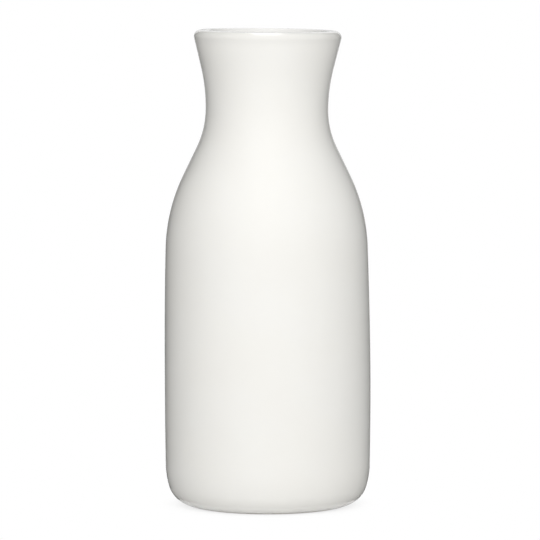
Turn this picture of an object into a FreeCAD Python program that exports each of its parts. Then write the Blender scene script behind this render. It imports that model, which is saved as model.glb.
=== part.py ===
import FreeCAD, Part
import math
import os

import Sketcher

# A plain glazed pitcher, made in one piece: a nearly straight body, a sloping shoulder, a waisted neck,
# a flared mouth with a full round lip, and a foot ring round a shallow recess. It is open and hollow.
# Millimetres, +Z up, with the origin at the centre of the face it stands on.

NODE = "pitcher"

# Name of each size, its value and what it sets.
DIMENSIONS = [
    ("total_height", 235.0, "foot ring to the top of the lip"),
    ("body_diameter", 102.0, "across the widest part of the body"),
    ("belly_height", 60.0, "foot ring to the widest part of the body"),
    ("barrel_radius", 2300.0, "slight outward curve of the body's side"),
    ("heel_curve", 43.0, "gentle rounding at the bottom of the side"),
    ("foot_curve", 13.0, "tighter rounding from the heel to the foot ring"),
    ("foot_sweep", 74.0, "degrees that the foot curve turns through"),
    ("shoulder_drop", 68.3, "neck's waist down to where the side turns in"),
    ("shoulder_slant", 15.6, "straight stretch between shoulder and neck"),
    ("neck_diameter", 60.4, "across the neck's waist"),
    ("neck_drop", 39.0, "top of the lip down to the neck's waist"),
    ("neck_curve", 43.5, "hollow curve from the shoulder to the waist"),
    ("mouth_flare", 6.1, "how far the lip stands out past the neck's waist, all round"),
    ("flare_length", 15.4, "straight stretch of the flare below the lip"),
    ("lip_thickness", 6.6, "full round lip, thicker than the wall"),
    ("wall", 4.8, "thickness of the side, shoulder and neck"),
    ("inner_round", 11.0, "rounding inside, from the floor into the side"),
    ("floor_thickness", 5.0, "floor above the recess"),
    ("foot_recess", 2.5, "height of the recess under the floor"),
    ("foot_ring", 4.0, "width of the flat ring it stands on"),
    ("foot_round", 0.8, "rounded edges of the recess"),
]

QUARTER_TURN = math.pi / 2
FULL_TURN_DEGREES = 360.0
ROUNDING_SHARE = 0.4  # the most of the recess's height, or of the ring's width, that one rounding takes
TOLERANCE = 1e-4

# How a sketch numbers the ends of a line or arc, its centre, and its own axes.
START = 1
END = 2
CENTRE = 3
HORIZONTAL_AXIS = -1
VERTICAL_AXIS = -2
ORIGIN = (-1, START)


def add_sheet(doc):
    sheet = doc.addObject("Spreadsheet::Sheet", "sizes")
    for row, (alias, value, meaning) in enumerate(DIMENSIONS, start=1):
        sheet.set("A%d" % row, meaning)
        sheet.set("B%d" % row, str(value))
        sheet.setAlias("B%d" % row, alias)
    doc.recompute()
    return sheet


def origin_plane(body, role):
    for feature in body.Origin.OriginFeatures:
        if feature.Role == role:
            return feature
    raise ValueError("no origin plane " + role)


def along(start, angle, distance):
    return start + distance * FreeCAD.Vector(math.cos(angle), math.sin(angle), 0)


def arc(centre, radius, first, last):
    circle = Part.Circle(centre, FreeCAD.Vector(0, 0, 1), radius)
    return Part.ArcOfCircle(circle, first, last)


def base_curves(sheet, barrel_centre):
    """Heel and foot: centre of each, and the angle at which each takes over from the curve above."""
    foot_angle = math.radians(sheet.foot_sweep) - QUARTER_TURN
    heel_height = sheet.foot_curve - (sheet.heel_curve - sheet.foot_curve) * math.sin(foot_angle)
    heel_reach = sheet.barrel_radius - sheet.heel_curve
    heel_angle = math.asin((heel_height - sheet.belly_height) / heel_reach)
    heel_centre = along(barrel_centre, heel_angle, heel_reach)
    foot_centre = along(heel_centre, foot_angle, sheet.heel_curve - sheet.foot_curve)
    return heel_centre, heel_angle, foot_centre, foot_angle


def inner_base_curve(sheet, barrel_centre, floor_height):
    """Curve inside that touches the floor and the inner side: its centre and where it meets the side."""
    reach = sheet.barrel_radius - sheet.wall - sheet.inner_round
    angle = math.asin((floor_height + sheet.inner_round - sheet.belly_height) / reach)
    return along(barrel_centre, angle, reach), angle


def shoulder_curve(sheet, barrel_centre, low_neck_centre):
    """Curve that leaves the side and reaches the neck curve by a straight slant.

    The slant touches both curves, so its length, the two radii added up and the distance between the
    centres form a right triangle, which gives the shoulder's radius.
    """
    turn_height = sheet.total_height - sheet.neck_drop - sheet.shoulder_drop
    turn_angle = math.asin((turn_height - sheet.belly_height) / sheet.barrel_radius)
    turn = along(barrel_centre, turn_angle, sheet.barrel_radius)
    gap = turn - low_neck_centre
    outward = gap.dot(along(FreeCAD.Vector(), turn_angle, 1))
    excess = gap.dot(gap) - sheet.neck_curve ** 2 - sheet.shoulder_slant ** 2
    radius = excess / (2 * (sheet.neck_curve + outward))
    centre = along(turn, turn_angle, -radius)
    reach = low_neck_centre - centre
    bearing = math.atan2(reach.y, reach.x)
    slant_angle = bearing - math.atan2(sheet.shoulder_slant, radius + sheet.neck_curve)
    return centre, radius, turn_angle, slant_angle


def tangent_lean(offset, across, length):
    """Lean from upright of a line tangent to two round ends whose centres are offset apart.

    across is how far the centres lie apart square to the line, and length how far along it.
    """
    return math.atan2(across * offset.y + length * offset.x, length * offset.y - across * offset.x)


def neck_flare(sheet, waist, lip_centre):
    """Upper neck curve, upright at the waist, and the leans of the flare outside and inside."""
    lip = sheet.lip_thickness / 2
    rise = lip_centre - waist
    excess = rise.dot(rise) - lip ** 2 - sheet.flare_length ** 2
    radius = excess / (2 * sheet.mouth_flare)
    centre = waist + FreeCAD.Vector(radius, 0, 0)
    offset = lip_centre - centre
    lean = tangent_lean(offset, radius + lip, sheet.flare_length)
    inner_across = radius + sheet.wall - lip
    inner_length = math.sqrt(offset.dot(offset) - inner_across ** 2)
    return centre, radius, lean, tangent_lean(offset, inner_across, inner_length)


def section_path(sheet):
    """Half section of the wall, as (name, geometry, end it starts from, smooth into the next)."""
    wall = sheet.wall
    lip = sheet.lip_thickness / 2
    floor_height = sheet.foot_recess + sheet.floor_thickness
    barrel_centre = FreeCAD.Vector(sheet.body_diameter / 2 - sheet.barrel_radius, sheet.belly_height, 0)
    waist = FreeCAD.Vector(sheet.neck_diameter / 2, sheet.total_height - sheet.neck_drop, 0)
    low_centre = waist + FreeCAD.Vector(sheet.neck_curve, 0, 0)
    lip_centre = FreeCAD.Vector(waist.x + sheet.mouth_flare - lip, sheet.total_height - lip, 0)

    heel_centre, heel_angle, foot_centre, foot_angle = base_curves(sheet, barrel_centre)
    inner_centre, inner_angle = inner_base_curve(sheet, barrel_centre, floor_height)
    shoulder = shoulder_curve(sheet, barrel_centre, low_centre)
    shoulder_centre, shoulder_radius, turn_angle, slant_angle = shoulder
    high_centre, high_radius, lean, inner_lean = neck_flare(sheet, waist, lip_centre)

    low_angle = math.pi + slant_angle
    high_angle = math.pi - lean
    inner_high_angle = math.pi - inner_lean
    recess_edge = foot_centre.x - sheet.foot_ring
    floor_centre = FreeCAD.Vector(0, floor_height, 0)
    recess_centre = FreeCAD.Vector(0, sheet.foot_recess, 0)
    recess_corner = FreeCAD.Vector(recess_edge, sheet.foot_recess, 0)
    ring_start = FreeCAD.Vector(recess_edge, 0, 0)
    ring = Part.LineSegment(ring_start, FreeCAD.Vector(foot_centre.x, 0, 0))
    slant = Part.LineSegment(along(shoulder_centre, slant_angle, shoulder_radius),
                             along(low_centre, low_angle, sheet.neck_curve))
    flare = Part.LineSegment(along(high_centre, high_angle, high_radius),
                             along(lip_centre, -lean, lip))
    inner_flare = Part.LineSegment(along(lip_centre, inner_high_angle, lip),
                                   along(high_centre, inner_high_angle, high_radius + wall))
    inner_slant = Part.LineSegment(along(low_centre, low_angle, sheet.neck_curve + wall),
                                   along(shoulder_centre, slant_angle, shoulder_radius - wall))
    floor = Part.LineSegment(FreeCAD.Vector(inner_centre.x, floor_height, 0), floor_centre)
    return [
        ("ring", ring, START, True),
        ("foot", arc(foot_centre, sheet.foot_curve, -QUARTER_TURN, foot_angle), START, True),
        ("heel", arc(heel_centre, sheet.heel_curve, foot_angle, heel_angle), START, True),
        ("side", arc(barrel_centre, sheet.barrel_radius, heel_angle, turn_angle), START, True),
        ("shoulder", arc(shoulder_centre, shoulder_radius, turn_angle, slant_angle), START, True),
        ("slant", slant, START, True),
        ("low_neck", arc(low_centre, sheet.neck_curve, math.pi, low_angle), END, True),
        ("high_neck", arc(high_centre, high_radius, high_angle, math.pi), END, True),
        ("flare", flare, START, True),
        ("lip", arc(lip_centre, lip, -lean, inner_high_angle), START, True),
        ("inner_flare", inner_flare, START, True),
        ("inner_high_neck", arc(high_centre, high_radius + wall, inner_high_angle, math.pi), START, True),
        ("inner_low_neck", arc(low_centre, sheet.neck_curve + wall, math.pi, low_angle), START, True),
        ("inner_slant", inner_slant, START, True),
        ("inner_shoulder", arc(shoulder_centre, shoulder_radius - wall, turn_angle, slant_angle), END, True),
        ("inner_side", arc(barrel_centre, sheet.barrel_radius - wall, inner_angle, turn_angle), END, True),
        ("inner_base", arc(inner_centre, sheet.inner_round, -QUARTER_TURN, inner_angle), END, True),
        ("floor", floor, START, False),
        ("axis", Part.LineSegment(floor_centre, recess_centre), START, False),
        ("recess", Part.LineSegment(recess_centre, recess_corner), START, False),
        ("recess_side", Part.LineSegment(recess_corner, ring_start), START, False),
    ]


def add_section(body, sheet):
    """Sketch of the wall's half section, each size of it bound to the sheet."""
    sketch = body.newObject("Sketcher::SketchObject", "section")
    sketch.AttachmentSupport = [(origin_plane(body, "XZ_Plane"), "")]
    sketch.MapMode = "FlatFace"

    path = section_path(sheet)
    number = {}
    for name, geometry, _, _ in path:
        number[name] = sketch.addGeometry(geometry, False)

    # The pieces follow one another, tangent where the wall runs on smoothly.
    for (name, _, entry, smooth), (next_name, _, next_entry, _) in zip(path, path[1:] + path[:1]):
        leaving = END if entry == START else START
        kind = "Tangent" if smooth else "Coincident"
        sketch.addConstraint(Sketcher.Constraint(kind, number[name], leaving, number[next_name], next_entry))

    for name in ("ring", "floor", "recess"):
        sketch.addConstraint(Sketcher.Constraint("Horizontal", number[name]))
    for name in ("axis", "recess_side"):
        sketch.addConstraint(Sketcher.Constraint("Vertical", number[name]))
    sketch.addConstraint(Sketcher.Constraint("PointOnObject", number["ring"], START, HORIZONTAL_AXIS))
    sketch.addConstraint(Sketcher.Constraint("PointOnObject", number["recess"], START, VERTICAL_AXIS))

    # The inside runs parallel to the outside, so its curves share the outside's centres.
    for name in ("side", "shoulder", "low_neck", "high_neck"):
        pair = (number["inner_" + name], CENTRE, number[name], CENTRE)
        sketch.addConstraint(Sketcher.Constraint("Coincident", *pair))

    def bind(label, formula, kind, *place):
        index = sketch.addConstraint(Sketcher.Constraint(kind, *place))
        sketch.renameConstraint(index, label)
        sketch.setExpression("Constraints." + label, formula)

    def radius(name, formula):
        bind(name + "_radius", formula, "Radius", number[name], sketch.Geometry[number[name]].Radius)

    def length(name, formula):
        bind(name + "_length", formula, "Distance", number[name], sketch.Geometry[number[name]].length())

    def across(name, point, formula):
        distance = sketch.getPoint(number[name], point).x
        bind(name + "_across", formula, "DistanceX", *ORIGIN, number[name], point, distance)

    def height(name, point, formula):
        distance = sketch.getPoint(number[name], point).y
        bind(name + "_height", formula, "DistanceY", *ORIGIN, number[name], point, distance)

    centre_offset = -sketch.getPoint(number["side"], CENTRE).x
    bind("side_offset", "sizes.barrel_radius - sizes.body_diameter / 2",
         "DistanceX", number["side"], CENTRE, *ORIGIN, centre_offset)
    height("side", CENTRE, "sizes.belly_height")
    radius("side", "sizes.barrel_radius")
    radius("heel", "sizes.heel_curve")
    radius("foot", "sizes.foot_curve")
    bind("foot_turn", "sizes.foot_sweep * 1 deg", "Angle", number["foot"], math.radians(sheet.foot_sweep))
    length("ring", "sizes.foot_ring")
    height("recess", START, "sizes.foot_recess")

    height("shoulder", START, "sizes.total_height - sizes.neck_drop - sizes.shoulder_drop")
    length("slant", "sizes.shoulder_slant")
    radius("low_neck", "sizes.neck_curve")
    across("low_neck", START, "sizes.neck_diameter / 2")
    height("low_neck", CENTRE, "sizes.total_height - sizes.neck_drop")
    height("high_neck", CENTRE, "sizes.total_height - sizes.neck_drop")

    length("flare", "sizes.flare_length")
    radius("lip", "sizes.lip_thickness / 2")
    across("lip", CENTRE, "sizes.neck_diameter / 2 + sizes.mouth_flare - sizes.lip_thickness / 2")
    height("lip", CENTRE, "sizes.total_height - sizes.lip_thickness / 2")

    radius("inner_low_neck", "sizes.neck_curve + sizes.wall")
    radius("inner_side", "sizes.barrel_radius - sizes.wall")
    radius("inner_base", "sizes.inner_round")
    height("floor", END, "sizes.foot_recess + sizes.floor_thickness")
    return sketch


def add_turned_wall(body, sketch):
    turned = body.newObject("PartDesign::Revolution", "turned_wall")
    turned.Profile = sketch
    turned.ReferenceAxis = (sketch, ["V_Axis"])
    turned.Angle = FULL_TURN_DEGREES
    return turned


def add_foot_rounding(body, turned, sheet):
    """Rounds the two edges of the recess, by no more than it has room for."""
    circles = []
    for number, edge in enumerate(turned.Shape.Edges, start=1):
        if isinstance(edge.Curve, Part.Circle) and edge.Curve.Center.z < sheet.foot_recess + TOLERANCE:
            circles.append((edge.Curve.Radius, "Edge%d" % number))
    recess_radius = min(circles)[0]
    rounded = body.newObject("PartDesign::Fillet", "foot_rounding")
    rounded.Base = (turned, [name for radius, name in circles if radius < recess_radius + TOLERANCE])
    limits = [share % ROUNDING_SHARE for share in ("%g * sizes.foot_recess", "%g * sizes.foot_ring")]
    rounded.setExpression("Radius", "min(sizes.foot_round; %s; %s)" % tuple(limits))
    return rounded


def check(doc, sketch, body):
    for item in doc.Objects:
        if "Invalid" in item.State or "Error" in item.State:
            raise RuntimeError(item.Name + " failed: " + str(item.State))
    if not sketch.FullyConstrained:
        raise RuntimeError(sketch.Name + " has sizes left free")
    if body.Shape.isNull() or not body.Shape.isValid():
        raise RuntimeError(body.Label + " has no valid shape")


def main():
    doc = FreeCAD.newDocument("pitcher")
    sheet = add_sheet(doc)
    body = doc.addObject("PartDesign::Body", "pitcher_body")
    body.Label = NODE
    body.Placement = FreeCAD.Placement()
    sketch = add_section(body, sheet)
    doc.recompute()
    turned = add_turned_wall(body, sketch)
    doc.recompute()
    body.Tip = add_foot_rounding(body, turned, sheet)
    doc.recompute()
    check(doc, sketch, body)

    os.makedirs("parts", exist_ok=True)
    body.Shape.exportStep(os.path.join("parts", body.Label + ".step"))
    box = body.Shape.optimalBoundingBox(False)
    print("%s: %.1f x %.1f x %.1f mm, %.0f mm3 of solid"
          % (body.Label, box.XLength, box.YLength, box.ZLength, body.Shape.Volume))


main()
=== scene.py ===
import math

import bpy
import numpy as np
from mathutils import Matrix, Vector


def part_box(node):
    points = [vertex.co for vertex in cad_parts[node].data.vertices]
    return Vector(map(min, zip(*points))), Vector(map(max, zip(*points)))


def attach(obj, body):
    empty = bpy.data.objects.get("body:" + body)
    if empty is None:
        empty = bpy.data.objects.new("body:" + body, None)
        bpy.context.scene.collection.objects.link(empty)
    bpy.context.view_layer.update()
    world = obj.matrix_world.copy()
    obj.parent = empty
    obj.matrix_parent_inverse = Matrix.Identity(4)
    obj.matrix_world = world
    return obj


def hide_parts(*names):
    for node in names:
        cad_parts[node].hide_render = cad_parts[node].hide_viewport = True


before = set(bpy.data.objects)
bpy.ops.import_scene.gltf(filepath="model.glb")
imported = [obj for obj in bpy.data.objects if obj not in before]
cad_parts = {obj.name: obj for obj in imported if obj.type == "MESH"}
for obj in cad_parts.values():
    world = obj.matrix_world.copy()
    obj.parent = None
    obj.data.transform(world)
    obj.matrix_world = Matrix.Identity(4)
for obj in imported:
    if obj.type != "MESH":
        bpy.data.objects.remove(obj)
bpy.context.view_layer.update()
pitcherLow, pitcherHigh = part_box("pitcher")
pitcherHeight = pitcherHigh.z - pitcherLow.z
bodyRadius = min(-pitcherLow.x, pitcherHigh.x, -pitcherLow.y, pitcherHigh.y)
print(f"frame loaded: pitcher {pitcherHeight * 1000:.1f} mm high, {bodyRadius * 2000:.1f} mm across")


class Wire:
    # one output socket: +, - and * between wires and numbers add a Math node each
    def __init__(self, finish, socket):
        self.finish = finish
        self.socket = socket

    def math(self, operation, *values):
        return self.finish.node("ShaderNodeMath", {"operation": operation}, dict(enumerate(values)))

    def __add__(self, other):
        return self.math("ADD", self, other)

    def __radd__(self, other):
        return self.math("ADD", other, self)

    def __sub__(self, other):
        return self.math("SUBTRACT", self, other)

    def __rsub__(self, other):
        return self.math("SUBTRACT", other, self)

    def __mul__(self, other):
        return self.math("MULTIPLY", self, other)

    def __rmul__(self, other):
        return self.math("MULTIPLY", other, self)

    def larger(self, other):
        return self.math("MAXIMUM", self, other)

    def root(self):
        return self.math("SQRT", self)


class Finish:
    # a material's or the world's node tree, cleared and built up with one method
    def __init__(self, owner):
        owner.use_nodes = True
        self.tree = owner.node_tree
        self.tree.nodes.clear()

    def node(self, kind, settings=None, inputs=None, output=0):
        made = self.tree.nodes.new(kind)
        for name, value in (settings or {}).items():
            setattr(made, name, value)
        for name, value in (inputs or {}).items():
            if isinstance(value, Wire):
                self.tree.links.new(value.socket, made.inputs[name])
            else:
                made.inputs[name].default_value = value
        return Wire(self, made.outputs[output]) if len(made.outputs) else made

    def fade(self, value, start, end):
        # 0 before start, 1 after end, smooth between them
        return self.node("ShaderNodeMapRange", {"interpolation_type": "SMOOTHSTEP"},
                         {"Value": value, "From Min": start, "From Max": end})

    def blend(self, amount, first, second):
        # first colour where amount is 0, second where it is 1
        return self.node("ShaderNodeMix", {"data_type": "RGBA"},
                         {"Factor": amount, 6: first, 7: second}, output=2)

    def noise(self, place, scale, detail):
        return self.node("ShaderNodeTexNoise", None, {"Vector": place, "Scale": scale, "Detail": detail})


# the pitcher is one turned wall, from the inside of its floor, over the lip, to under its foot
vessel = {                      # millimetres and degrees
    "bellyHeight": 60,          # where the side is widest
    "sideCurve": 2300,          # radius of the nearly straight side
    "heelCurve": 43, "footCurve": 13, "footSweep": 74,
    "shoulderDrop": 68.3,       # from the neck's waist down to where the shoulder starts
    "shoulderSlant": 15.6,      # length of the straight slope above the shoulder
    "neckWidth": 60.4, "neckDrop": 39, "neckCurve": 43.5,
    "mouthFlare": 6.1, "flareLength": 15.4,
    "lipThickness": 6.6, "lipEdge": 0.5,        # the lip is round outside, with a tight edge inside
    "wall": 4.8,
    "innerRound": 11, "floorThickness": 5,
    "footRecess": 2.5, "footRing": 4, "footRound": 0.8,
    "segments": 256,            # round the axis
    "spacing": 2.6,             # longest step along the section
    "bend": 5,                  # most degrees a step turns
    "rimSlant": 0.62,           # degrees the lip dips, down towards +X
    "sway": 0.54,               # how far the shoulder stands off the axis, towards -X
    "swayStarts": (48, 140), "swayEnds": (175, 238),        # heights it comes and goes between
    "outOfRound": 0.04,         # how far the width wavers, once as an oval and once three-sided
    "oval": (12, 60), "ovalTurn": 0.6,          # heights it comes between, and its turn in radians
    "threeSided": (90, 190), "threeSidedTurn": 2,
    "spare": 0.08,              # narrower by this, which keeps the sway inside the full size
    "crestFrom": 0.7, "crestTo": 0.1,           # below the top, where the inside's painted light comes over the crest
}


def along(start, angle, length):
    return start + length * np.array([math.cos(angle), math.sin(angle)])


def arcPoints(centre, radius, start, end):
    # centre + radius * (cos t, sin t), with t stepping evenly from start to end
    sweep = abs(end - start)
    steps = max(sweep * radius / vessel["spacing"], sweep / math.radians(vessel["bend"]))
    turn = np.linspace(start, end, int(steps) + 2)
    return np.stack([centre[0] + radius * np.cos(turn), centre[1] + radius * np.sin(turn)], axis=1)


def linePoints(start, end):
    # start + t * (end - start), with t stepping evenly from 0 to 1
    steps = int(math.dist(start, end) / vessel["spacing"]) + 2
    return start + np.linspace(0, 1, steps)[:, None] * (np.asarray(end) - start)


def wallSection(size, height, width):
    # arcs and straights, each tangent to the next, as rows of distance from the axis and height
    quarter = math.pi / 2
    wall, lip, neck = size["wall"], size["lipThickness"] / 2, size["neckCurve"]
    side = np.array([width / 2 - size["sideCurve"], size["bellyHeight"]])
    waist = np.array([size["neckWidth"] / 2, height - size["neckDrop"]])
    lowNeck = waist + [neck, 0]
    lipCentre = np.array([waist[0] + size["mouthFlare"] - lip, height - lip])

    # foot and heel: the foot's curve stands on z = 0 and both are tangent inside the side's circle
    heel, foot = size["heelCurve"], size["footCurve"]
    footAngle = math.radians(size["footSweep"] - 90)
    heelHeight = foot + (foot - heel) * math.sin(footAngle)
    heelAngle = math.asin((heelHeight - side[1]) / (size["sideCurve"] - heel))
    heelCentre = along(side, heelAngle, size["sideCurve"] - heel)
    footCentre = along(heelCentre, footAngle, heel - foot)

    # shoulder: inside the side's circle, joined to the neck's curve by a straight slope
    turnAngle = math.asin((waist[1] - size["shoulderDrop"] - side[1]) / size["sideCurve"])
    turn = along(side, turnAngle, size["sideCurve"])
    gap = turn - lowNeck
    reach = gap @ [math.cos(turnAngle), math.sin(turnAngle)]
    shoulder = (gap @ gap - neck ** 2 - size["shoulderSlant"] ** 2) / (2 * (neck + reach))
    shoulderCentre = along(turn, turnAngle, -shoulder)
    rise = lowNeck - shoulderCentre
    slope = math.atan2(rise[1], rise[0]) - math.atan2(size["shoulderSlant"], shoulder + neck)

    # flare: a curve on the waist's level, joined to the lip's round by a straight of flareLength
    over = lipCentre - waist
    flare = (over @ over - lip ** 2 - size["flareLength"] ** 2) / (2 * (over[0] + lip))
    highNeck = waist + [flare, 0]
    toLip = lipCentre - highNeck

    def lean(radius, straight):
        return math.atan2(radius * toLip[1] + straight * toLip[0], straight * toLip[1] - radius * toLip[0])

    outerLean = lean(flare + lip, size["flareLength"])
    innerRadius = flare + wall - lip
    innerLean = lean(innerRadius, math.sqrt(toLip @ toLip - innerRadius ** 2))

    # the lip's inner edge: a small curve tangent to the inside of the flare and to the lip's top
    edge = size["lipEdge"]
    top = lipCentre + [0, lip]
    inset = (lip - edge) * (1 - math.sin(innerLean)) / math.cos(innerLean)
    edgeCentre = top - [inset, edge]

    # inside of the floor's corner
    floorHeight = size["footRecess"] + size["floorThickness"]
    cornerReach = size["sideCurve"] - wall - size["innerRound"]
    cornerAngle = math.asin((floorHeight + size["innerRound"] - side[1]) / cornerReach)
    cornerCentre = along(side, cornerAngle, cornerReach)

    # ring: flat from footCentre inwards, both edges of the recess rounded
    ringInner = footCentre[0] - size["footRing"]
    soft, recess = size["footRound"], size["footRecess"]
    innerTurn, outerTurn = math.pi - innerLean, math.pi - outerLean
    parts = [
        linePoints(np.array([0, floorHeight]), [cornerCentre[0], floorHeight]),
        arcPoints(cornerCentre, size["innerRound"], -quarter, cornerAngle),
        arcPoints(side, size["sideCurve"] - wall, cornerAngle, turnAngle),
        arcPoints(shoulderCentre, shoulder - wall, turnAngle, slope),
        linePoints(along(shoulderCentre, slope, shoulder - wall),
                   along(lowNeck, math.pi + slope, neck + wall)),
        arcPoints(lowNeck, neck + wall, math.pi + slope, math.pi),
        arcPoints(highNeck, flare + wall, math.pi, innerTurn),
        linePoints(along(highNeck, innerTurn, flare + wall), along(edgeCentre, innerTurn, edge)),
        arcPoints(edgeCentre, edge, innerTurn, quarter),
        linePoints(along(edgeCentre, quarter, edge), top),
        arcPoints(lipCentre, lip, quarter, -outerLean),
        linePoints(along(lipCentre, -outerLean, lip), along(highNeck, outerTurn, flare)),
        arcPoints(highNeck, flare, outerTurn, math.pi),
        arcPoints(lowNeck, neck, math.pi, math.pi + slope),
        linePoints(along(lowNeck, math.pi + slope, neck), along(shoulderCentre, slope, shoulder)),
        arcPoints(shoulderCentre, shoulder, slope, turnAngle),
        arcPoints(side, size["sideCurve"], turnAngle, heelAngle),
        arcPoints(heelCentre, heel, heelAngle, footAngle),
        arcPoints(footCentre, foot, footAngle, -quarter),
        linePoints(np.array([footCentre[0], 0]), [ringInner + soft, 0]),
        arcPoints([ringInner + soft, soft], soft, -quarter, -math.pi),
        linePoints(np.array([ringInner, soft]), [ringInner, recess - soft]),
        arcPoints([ringInner - soft, recess - soft], soft, 0, quarter),
        linePoints(np.array([ringInner - soft, recess]), [0, recess]),
    ]
    section = np.concatenate(parts)

    # each part ends where the next starts, so the second of two equal points goes
    apart = np.linalg.norm(np.diff(section, axis=0), axis=1) > 1e-6
    return section[np.concatenate([[True], apart])]


def ease(value, start, end):
    # 0 below start, 1 above end, 3t^2 - 2t^3 between them
    t = np.clip((value - start) / (end - start), 0, 1)
    return t * t * (3 - 2 * t)


def turnedWall(size, height, width):
    # x = r cos(a), y = r sin(a), z: each row of the section carried round the axis,
    # then bent a little as the hand-finished piece is
    section = wallSection(size, height, width)
    angle = np.arange(size["segments"]) * (2 * math.pi / size["segments"])
    radius, level = section[1:-1, 0:1], section[1:-1, 1:2]
    uneven = ease(level, *size["oval"]) * np.sin(2 * angle + size["ovalTurn"])
    uneven = uneven + ease(level, *size["threeSided"]) * np.sin(3 * angle + size["threeSidedTurn"])
    radius = radius * (1 + (size["outOfRound"] * (uneven - 2) - size["spare"]) / width)
    x = radius * np.cos(angle)
    y = radius * np.sin(angle)
    z = np.broadcast_to(level, x.shape).copy()

    # the rim: everything above the waist sinks by its distance from the high side, more towards the lip
    waist, half = height - size["neckDrop"], size["neckWidth"] / 2 + size["mouthFlare"]
    dip = math.tan(math.radians(size["rimSlant"])) * np.clip(x + half, 0, None)
    z -= dip * np.clip((z - waist) / size["neckDrop"], 0, 1) ** 2

    # the sway: off the axis from the belly to the shoulder, back over the foot ring at the lip
    x -= size["sway"] * ease(level, *size["swayStarts"]) * (1 - ease(level, *size["swayEnds"]))
    rows = np.stack([x, y, z], axis=2)
    poles = np.array([[0, 0, section[0, 1]], [0, 0, section[-1, 1]]])

    # the mask of painted light: 1 on the inside and over the lip's crest, 0 outside
    top = np.argmax(level)
    paintedBright = ease(level, height - size["crestFrom"], height - size["crestTo"])
    paintedBright[:top] = 1
    return rows, poles, np.broadcast_to(paintedBright, x.shape)


def closedShell(name, rows, poles, paintedBright):
    # quads between neighbouring rows, a fan of triangles at each pole, and millimetres made metres
    count, around = rows.shape[:2]
    index = np.arange(count * around).reshape(count, around)
    after = np.roll(index, -1, axis=1)
    quads = np.stack([index[:-1], index[1:], after[1:], after[:-1]], axis=2).reshape(-1, 4)
    first, last = count * around, count * around + 1
    topFan = np.stack([np.full(around, first), index[0], after[0]], axis=1)
    underFan = np.stack([index[-1], np.full(around, last), after[-1]], axis=1)
    mesh = bpy.data.meshes.new(name)
    points = np.concatenate([rows.reshape(-1, 3), poles]) / 1000
    mesh.from_pydata(points.tolist(), [], quads.tolist() + topFan.tolist() + underFan.tolist())
    mesh.polygons.foreach_set("use_smooth", np.ones(len(mesh.polygons), dtype=bool))
    mesh.validate()
    values = np.append(paintedBright.ravel(), [1, 0]).astype(np.float32)       # the poles are inside and under
    mesh.attributes.new("paintedBright", "FLOAT", "POINT").data.foreach_set("value", values)
    return mesh


glazeLook = {                   # lengths in metres, scales in features a metre
    "white": (0.882, 0.874, 0.840, 1),
    "thinWhite": (0.874, 0.860, 0.817, 1),      # where the glaze lies thinner
    "lipShadeWhite": (0.832, 0.822, 0.787, 1),       # painted shade round the lip, over a thin glaze's creamier tone
    "paintedBrightWhite": (0.965, 0.959, 0.937, 1),    # painted light: paler inside and over the lip's crest
    "bisque": (0.70, 0.655, 0.585, 1),          # the bare ring it stands on
    "cloudScale": 26, "cloudFrom": 0.35, "cloudTo": 0.7, "cloudStrength": 0.5,
    "lipFrom": 0.0085, "lipTo": 0.003,          # below the top, where the lip's painted shade comes in
    "ringFrom": 0.0315, "ringTo": 0.0330,       # from the axis, where the bare ring starts
    "bareHeight": 0.0007, "bareFade": 0.0003,   # how far up it is bare, and the edge's softness
    "waverScale": 300, "waver": 0.0006,         # how uneven that edge is
    "gritScale": 2600, "gritHeight": 0.00006, "gritShade": 0.9,
    "roughness": 0.06, "bisqueRoughness": 0.8,
    "sheenScale": 60, "sheenRange": 0.04,       # added to the roughness in patches
    "rippleScale": 45, "ripple": 0.00005,       # a slow swell in the glaze
    "poreScale": 180, "poreDepth": 0.000006,
    "poreFrom": 0.015, "poreTo": 0.05,          # shares of a pore's cell, its bottom and its edge
    "index": 1.58,
}


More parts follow.
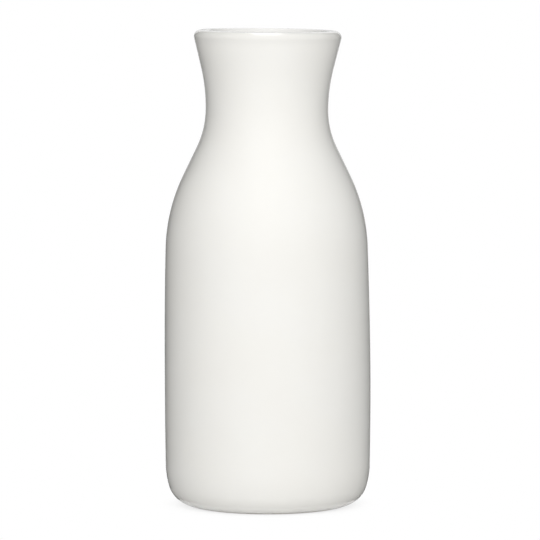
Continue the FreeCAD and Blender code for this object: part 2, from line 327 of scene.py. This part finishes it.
def glazedPorcelain(look):
    material = bpy.data.materials.new("glazed porcelain")
    finish = Finish(material)
    place = finish.node("ShaderNodeTexCoord", output=3)
    x, y, z = (finish.node("ShaderNodeSeparateXYZ", None, {0: place}, output=i) for i in range(3))
    fromAxis = (x * x + y * y).root()

    # clouds of thicker and thinner glaze, with painted shade round the lip and painted light inside and
    # over the lip's crest
    clouds = finish.fade(finish.noise(place, look["cloudScale"], 3), look["cloudFrom"], look["cloudTo"])
    glaze = finish.blend(clouds * look["cloudStrength"], look["white"], look["thinWhite"])
    # painted shade: the lip's band is made darker
    lipShadeBand = finish.fade(z, pitcherHeight - look["lipFrom"], pitcherHeight - look["lipTo"])
    glaze = finish.blend(lipShadeBand, glaze, look["lipShadeWhite"])
    # painted light: the inside and the lip's crest are made paler
    paintedBright = finish.node("ShaderNodeAttribute", {"attribute_name": "paintedBright"}, output="Fac")
    glaze = finish.blend(paintedBright, glaze, look["paintedBrightWhite"])

    # bare clay on the ring, with a wavering edge to the glaze
    edge = look["bareHeight"] + finish.noise(place, look["waverScale"], 2) * look["waver"]
    ringBand = finish.fade(fromAxis, look["ringFrom"], look["ringTo"])
    bare = finish.fade(edge - z, 0, look["bareFade"]) * ringBand
    grit = finish.noise(place, look["gritScale"], 2)
    shaded = [c * look["gritShade"] for c in look["bisque"][:3]] + [1]
    bisque = finish.blend(grit, look["bisque"], shaded)
    colour = finish.blend(bare, glaze, bisque)

    sheen = look["roughness"] + finish.noise(place, look["sheenScale"], 2) * look["sheenRange"]
    roughness = sheen * (1 - bare) + look["bisqueRoughness"] * bare

    # the ripple, with round pinholes let into it and grit on the bare ring
    ripple = finish.noise(place, look["rippleScale"], 1) * look["ripple"]
    pores = finish.node("ShaderNodeTexVoronoi", {"feature": "F1"},
                        {"Vector": place, "Scale": look["poreScale"]})
    pinholes = (1 - finish.fade(pores, look["poreFrom"], look["poreTo"])) * look["poreDepth"]
    height = ripple - pinholes + grit * bare * look["gritHeight"]
    bump = finish.node("ShaderNodeBump", None, {"Strength": 1, "Distance": 1, "Height": height})
    shader = finish.node("ShaderNodeBsdfPrincipled", None, {
        "Base Color": colour, "Roughness": roughness, "IOR": look["index"], "Normal": bump})
    finish.node("ShaderNodeOutputMaterial", None, {"Surface": shader})
    return material


rows, poles, paintedBright = turnedWall(vessel, pitcherHeight * 1000, bodyRadius * 2000)
pitcher = bpy.data.objects.new("pitcher_wall", closedShell("pitcher_wall", rows, poles, paintedBright))
bpy.context.collection.objects.link(pitcher)
pitcher.data.materials.append(glazedPorcelain(glazeLook))
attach(pitcher, "root")
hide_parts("pitcher")
print(f"pitcher turned: {len(pitcher.data.polygons)} faces, {rows.shape[0]} rows")


studio = {                      # metres, and brightness from 0 to 1
    "floorSize": 8, "floorWhite": (0.9, 0.9, 0.9, 1),
    "floorOff": 0.00005,                        # below the foot
    "glow": 0.04,                               # the floor's own light, as of a light table
    "whiteFrom": 0, "whiteTo": 0.057,           # from the axis, where the floor turns pure white
    "ambient": 0.19,
}


def backdropRays(finish):
    # 1 for rays from the camera, from a gloss or through glass, 0 for the light itself
    rays = [finish.node("ShaderNodeLightPath", output=name)
            for name in ("Is Camera Ray", "Is Glossy Ray", "Is Transmission Ray")]
    return rays[0].larger(rays[1]).larger(rays[2])


def paleFloor(look):
    # a matt, faintly glowing table, which turns pure white outwards for the backdrop's rays
    half = look["floorSize"] / 2
    corners = [(-half, -half, 0), (half, -half, 0), (half, half, 0), (-half, half, 0)]
    mesh = bpy.data.meshes.new("floor")
    mesh.from_pydata(corners, [], [(0, 1, 2, 3)])
    floor = bpy.data.objects.new("floor", mesh)
    floor.location.z = pitcherLow.z - look["floorOff"]
    bpy.context.collection.objects.link(floor)
    material = bpy.data.materials.new("pale floor")
    finish = Finish(material)
    place = finish.node("ShaderNodeTexCoord", output=3)
    away = finish.node("ShaderNodeVectorMath", {"operation": "LENGTH"}, {0: place}, output=1)
    white = finish.fade(away, look["whiteFrom"], look["whiteTo"]) * backdropRays(finish)
    matt = finish.node("ShaderNodeBsdfDiffuse", None, {"Color": look["floorWhite"]})
    glow = finish.node("ShaderNodeEmission", None, {"Color": (1, 1, 1, 1), "Strength": look["glow"]})
    plain = finish.node("ShaderNodeEmission", None, {"Color": (1, 1, 1, 1), "Strength": 1})
    table = finish.node("ShaderNodeAddShader", None, {0: matt, 1: glow})
    mixed = finish.node("ShaderNodeMixShader", None, {0: white, 1: table, 2: plain})
    finish.node("ShaderNodeOutputMaterial", None, {"Surface": mixed})
    mesh.materials.append(material)
    return floor


def whiteWorld(look):
    # pure white for the backdrop's rays, and much dimmer as a light
    world = bpy.data.worlds.new("studio")
    bpy.context.scene.world = world
    finish = Finish(world)
    behind = backdropRays(finish)
    strength = behind + (1 - behind) * look["ambient"]
    sky = finish.node("ShaderNodeBackground", None, {"Color": (1, 1, 1, 1), "Strength": strength})
    finish.node("ShaderNodeOutputWorld", None, {"Surface": sky})


tent = {                        # cards close round the pitcher, seen only in its glaze: metres and greys
    "at": 0.16, "high": 0.42, "off": 0.0003,    # from the axis, how high, and clear of the floor
    "cards": {                                  # degrees round the axis from +X to each side, and grey
        "behindRight": (60, 90, 0.5), "behindLeft": (90, 120, 0.42), "left": (120, 235, 0),
        "front": (235, 305, 0.12), "right": (305, 420, 0.05),
    },
    "roof": 0.3, "roofHole": 0.001,
    "floor": 0.04,
    "underHeel": 0.6,                           # a paler ring of it round the foot, which shows in the heel
    "heelFrom": 0.0385, "heelTo": 0.046, "heelOff": (0.00012, 0.00015),
    "backLight": (60, 120, 0.85),               # a pale card high up behind, bent in under the roof
    "backLightFrom": 0.24, "backLightTo": 0.1, "backLightOff": 0.001,
    "flag": (10, 170, 0),                       # a black one that keeps the glint off the far rim
    "flagFrom": 0.012, "flagTo": 0.070, "flagAbove": 0.065,
}


def tentCard(name, grey, start, end, steps):
    # part of a ring: x = r cos(a), y = r sin(a), with a stepping from start to end and r and z as in steps
    spokes = 24
    angle = np.radians(np.linspace(start, end, spokes))
    spoke = np.stack([np.cos(angle), np.sin(angle)], axis=1)
    points = np.concatenate([np.column_stack([spoke * r, np.full(spokes, z)]) for r, z in steps])
    low = np.arange(spokes - 1)
    strip = np.stack([low, low + spokes, low + spokes + 1, low + 1], axis=1)
    faces = np.concatenate([strip + spokes * k for k in range(len(steps) - 1)])
    mesh = bpy.data.meshes.new(name)
    mesh.from_pydata(points.tolist(), [], faces.tolist())
    card = bpy.data.objects.new(name, mesh)
    bpy.context.collection.objects.link(card)
    for kind in ("camera", "diffuse", "shadow", "transmission"):        # all but the glossy rays
        setattr(card, "visible_" + kind, False)
    material = bpy.data.materials.new(name)
    finish = Finish(material)
    paint = finish.node("ShaderNodeEmission", None, {"Color": (grey, grey, grey, 1), "Strength": 1})
    finish.node("ShaderNodeOutputMaterial", None, {"Surface": paint})
    mesh.materials.append(material)
    return card


def putUpTent(look):
    # cards standing round the pitcher, a floor from its foot outwards, and a flat roof
    far, high, off = look["at"], look["high"], look["off"]
    for name, (start, end, grey) in look["cards"].items():
        tentCard("card_" + name, grey, start, end, [(far, off), (far, high)])
    near, edge, (nearOff, edgeOff) = look["heelFrom"], look["heelTo"], look["heelOff"]
    tentCard("card_heel", look["underHeel"], 0, 360, [(near, nearOff), (edge, edgeOff)])
    tentCard("card_floor", look["floor"], 0, 360, [(edge, edgeOff), (far, off)])
    tentCard("card_roof", look["roof"], 0, 360, [(far, high), (look["roofHole"], high)])

    start, end, grey = look["backLight"]
    inner, under = far - look["backLightOff"], high - look["backLightOff"]
    steps = [(inner, look["backLightFrom"]), (inner, under), (look["backLightTo"], under)]
    tentCard("card_back_light", grey, start, end, steps)

    start, end, grey = look["flag"]
    above = pitcherHeight + look["flagAbove"]
    tentCard("card_flag", grey, start, end, [(look["flagTo"], above), (look["flagFrom"], above)])


lamps = {                       # degrees round from the front, degrees up, metres off, metres across, watts
    "front": {"round": 0, "up": 24, "away": 2.4, "size": 1.6, "power": 21.2},
    "frontHigh": {"round": 0, "up": 45, "away": 2.4, "size": 1.6, "power": 24.5},
    "overhead": {"round": 0, "up": 88, "away": 2.4, "size": 1.6, "power": 9},
    "right": {"round": 100, "up": 8, "away": 2.4, "size": 1.2, "power": 3},
    "behind": {"round": 180, "up": 6, "away": 2.4, "size": 0.7, "power": 28},
    "glint": {"round": 0, "up": 93.8, "away": 0.293, "size": 0.083, "length": 0.247, "power": 0.235,
              "glazeOnly": True},
}


def hangLamp(name, lamp, aim):
    # turned to the pitcher's middle; only the glint shows in the glaze, and it lights nothing else
    data = bpy.data.lights.new(name, "AREA")
    data.shape = "RECTANGLE" if "length" in lamp else "DISK"
    data.size, data.size_y = lamp["size"], lamp.get("length", lamp["size"])
    data.energy = lamp["power"]
    light = bpy.data.objects.new(name, data)
    bpy.context.collection.objects.link(light)
    turn, up = math.radians(lamp["round"]), math.radians(lamp["up"])
    way = Vector((math.sin(turn) * math.cos(up), -math.cos(turn) * math.cos(up), math.sin(up)))
    light.location = aim + way * lamp["away"]
    light.rotation_euler = way.to_track_quat("Z", "Y").to_euler()
    glazeOnly = lamp.get("glazeOnly", False)
    light.visible_camera = False
    light.visible_glossy = glazeOnly
    light.visible_diffuse = not glazeOnly


middle = (pitcherLow + pitcherHigh) / 2
paleFloor(studio)
putUpTent(tent)
whiteWorld(studio)
for name, lamp in lamps.items():
    hangLamp(name, lamp, middle)
print(f"studio set, with {len(lamps)} lamps")


cameraView = {                  # metres, with the lens and sensor in millimetres and the height in degrees
    "lens": 299.8, "sensor": 36, "distance": 2.22, "height": 4.85, "right": 0.0011, "up": -0.00115,
    "clipNear": 0.05, "clipFar": 50,
}

eye = bpy.data.cameras.new("camera")
eye.lens = cameraView["lens"]
eye.sensor_width = cameraView["sensor"]
eye.clip_start, eye.clip_end = cameraView["clipNear"], cameraView["clipFar"]
camera = bpy.data.objects.new("camera", eye)
bpy.context.collection.objects.link(camera)
tilt = math.radians(cameraView["height"])
camera.rotation_euler = (math.pi / 2 - tilt, 0, 0)
camera.location = (
    middle.x + cameraView["right"],
    middle.y - cameraView["distance"] * math.cos(tilt) + cameraView["up"] * math.sin(tilt),
    middle.z + cameraView["distance"] * math.sin(tilt) + cameraView["up"] * math.cos(tilt),
)
bpy.context.scene.camera = camera
bpy.context.scene.view_settings.view_transform = "Standard"

bpy.context.view_layer.update()
